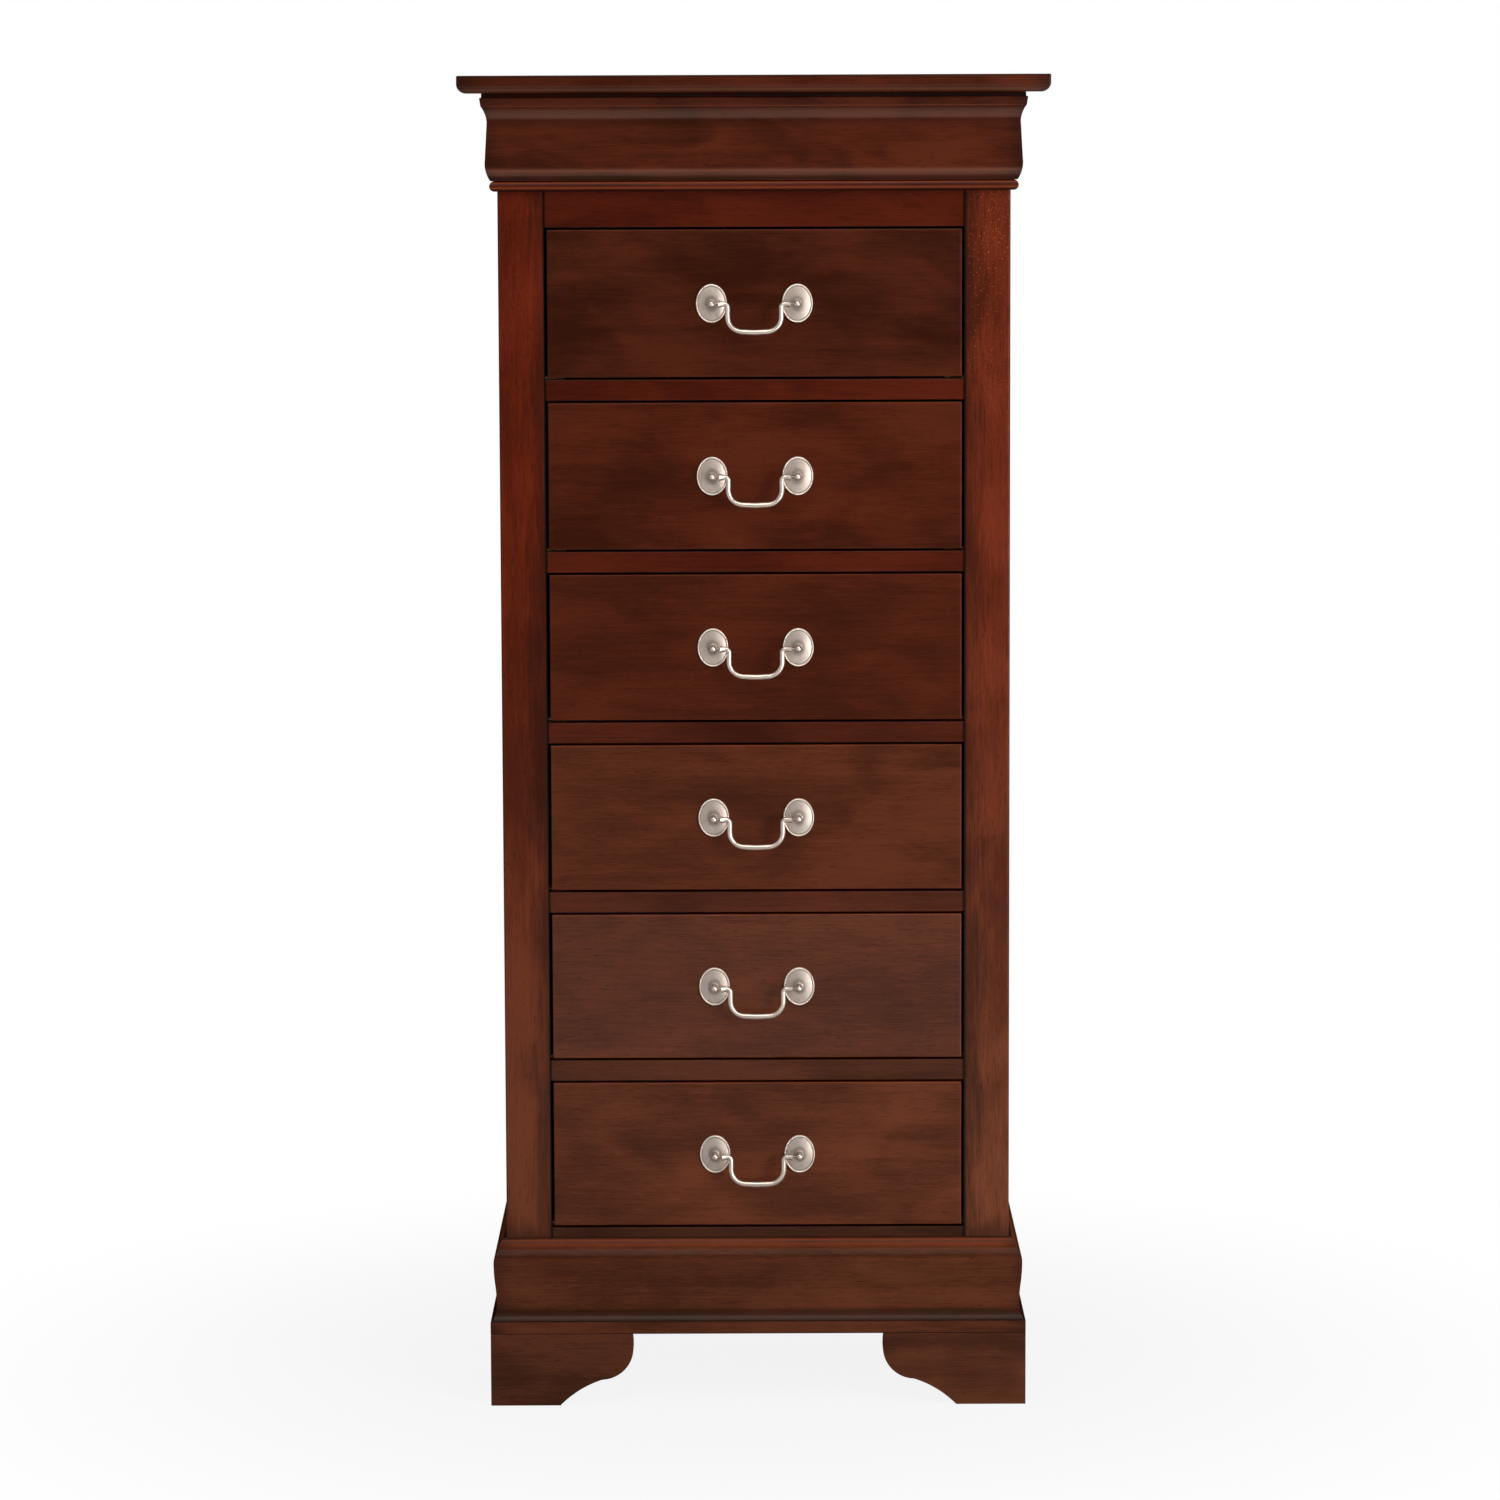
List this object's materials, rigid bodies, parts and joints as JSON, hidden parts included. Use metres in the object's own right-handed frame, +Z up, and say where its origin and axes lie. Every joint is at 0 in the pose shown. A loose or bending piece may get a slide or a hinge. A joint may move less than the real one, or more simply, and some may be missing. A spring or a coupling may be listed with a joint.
{
  "type": "tall chest of drawers",
  "caption": "Tall narrow chest with flush sliding drawers, overhanging top, moulded crown and base, ogee bracket feet and swinging bail pulls",
  "frame": {"origin": "on the floor under the middle of the top board's outline", "axes": "+X to the right as seen from the front, drawers open towards -Y, +Z up"},
  "size_m": [0.565, 0.406, 1.295],
  "materials": {
    "cherry_lacquer": "dark cherry stain under satin lacquer",
    "drawer_wood": "pale hardwood, clear sealed",
    "plywood": "thin birch-faced plywood, sanded",
    "satin_nickel": "warm satin nickel plate"
  },
  "bodies": {
    "carcass": {"top_panel": "cherry_lacquer", "crown_front": "cherry_lacquer", "crown_left": "cherry_lacquer", "crown_right": "cherry_lacquer", "bead_moulding": "cherry_lacquer", "left_front_post": "cherry_lacquer", "right_front_post": "cherry_lacquer", "left_side_panel": "cherry_lacquer", "right_side_panel": "cherry_lacquer", "top_rail": "cherry_lacquer", "divider_rails": "cherry_lacquer", "bottom_rail": "cherry_lacquer", "back_panel": "plywood", "bottom_panel": "plywood", "rear_rails": "drawer_wood", "base_front": "cherry_lacquer", "base_left": "cherry_lacquer", "base_right": "cherry_lacquer", "front_left_foot": "cherry_lacquer", "front_right_foot": "cherry_lacquer", "rear_left_foot": "cherry_lacquer", "rear_right_foot": "cherry_lacquer", "drawer_runners": "drawer_wood", "drawer_stops": "drawer_wood"},
    "drawer_1": {"drawer_1_front": "cherry_lacquer", "drawer_1_sides": "drawer_wood", "drawer_1_back": "drawer_wood", "drawer_1_bottom": "plywood", "drawer_1_pull_mounts": "satin_nickel"},
    "bail_1": {"drawer_1_bail": "satin_nickel"},
    "drawer_2": {"drawer_2_front": "cherry_lacquer", "drawer_2_sides": "drawer_wood", "drawer_2_back": "drawer_wood", "drawer_2_bottom": "plywood", "drawer_2_pull_mounts": "satin_nickel"},
    "bail_2": {"drawer_2_bail": "satin_nickel"},
    "drawer_3": {"drawer_3_front": "cherry_lacquer", "drawer_3_sides": "drawer_wood", "drawer_3_back": "drawer_wood", "drawer_3_bottom": "plywood", "drawer_3_pull_mounts": "satin_nickel"},
    "bail_3": {"drawer_3_bail": "satin_nickel"},
    "drawer_4": {"drawer_4_front": "cherry_lacquer", "drawer_4_sides": "drawer_wood", "drawer_4_back": "drawer_wood", "drawer_4_bottom": "plywood", "drawer_4_pull_mounts": "satin_nickel"},
    "bail_4": {"drawer_4_bail": "satin_nickel"},
    "drawer_5": {"drawer_5_front": "cherry_lacquer", "drawer_5_sides": "drawer_wood", "drawer_5_back": "drawer_wood", "drawer_5_bottom": "plywood", "drawer_5_pull_mounts": "satin_nickel"},
    "bail_5": {"drawer_5_bail": "satin_nickel"},
    "drawer_6": {"drawer_6_front": "cherry_lacquer", "drawer_6_sides": "drawer_wood", "drawer_6_back": "drawer_wood", "drawer_6_bottom": "plywood", "drawer_6_pull_mounts": "satin_nickel"},
    "bail_6": {"drawer_6_bail": "satin_nickel"}
  },
  "joints": [
    {"name": "drawer_1_slide", "type": "slide", "parent": "carcass", "child": "drawer_1", "axis": [0, -1, 0], "range_m": [0, 0.26]},
    {"name": "bail_1_swing", "type": "hinge", "parent": "drawer_1", "child": "bail_1", "pos_m": [0, -0.1835, 1.07725], "axis": [-1, 0, 0], "range_deg": [-30, 210]},
    {"name": "drawer_2_slide", "type": "slide", "parent": "carcass", "child": "drawer_2", "axis": [0, -1, 0], "range_m": [0, 0.26]},
    {"name": "bail_2_swing", "type": "hinge", "parent": "drawer_2", "child": "bail_2", "pos_m": [0, -0.1835, 0.91125], "axis": [-1, 0, 0], "range_deg": [-30, 210]},
    {"name": "drawer_3_slide", "type": "slide", "parent": "carcass", "child": "drawer_3", "axis": [0, -1, 0], "range_m": [0, 0.26]},
    {"name": "bail_3_swing", "type": "hinge", "parent": "drawer_3", "child": "bail_3", "pos_m": [0, -0.1835, 0.74525], "axis": [-1, 0, 0], "range_deg": [-30, 210]},
    {"name": "drawer_4_slide", "type": "slide", "parent": "carcass", "child": "drawer_4", "axis": [0, -1, 0], "range_m": [0, 0.26]},
    {"name": "bail_4_swing", "type": "hinge", "parent": "drawer_4", "child": "bail_4", "pos_m": [0, -0.1835, 0.57925], "axis": [-1, 0, 0], "range_deg": [-30, 210]},
    {"name": "drawer_5_slide", "type": "slide", "parent": "carcass", "child": "drawer_5", "axis": [0, -1, 0], "range_m": [0, 0.26]},
    {"name": "bail_5_swing", "type": "hinge", "parent": "drawer_5", "child": "bail_5", "pos_m": [0, -0.1835, 0.41325], "axis": [-1, 0, 0], "range_deg": [-30, 210]},
    {"name": "drawer_6_slide", "type": "slide", "parent": "carcass", "child": "drawer_6", "axis": [0, -1, 0], "range_m": [0, 0.26]},
    {"name": "bail_6_swing", "type": "hinge", "parent": "drawer_6", "child": "bail_6", "pos_m": [0, -0.1835, 0.24725], "axis": [-1, 0, 0], "range_deg": [-30, 210]}
  ]
}
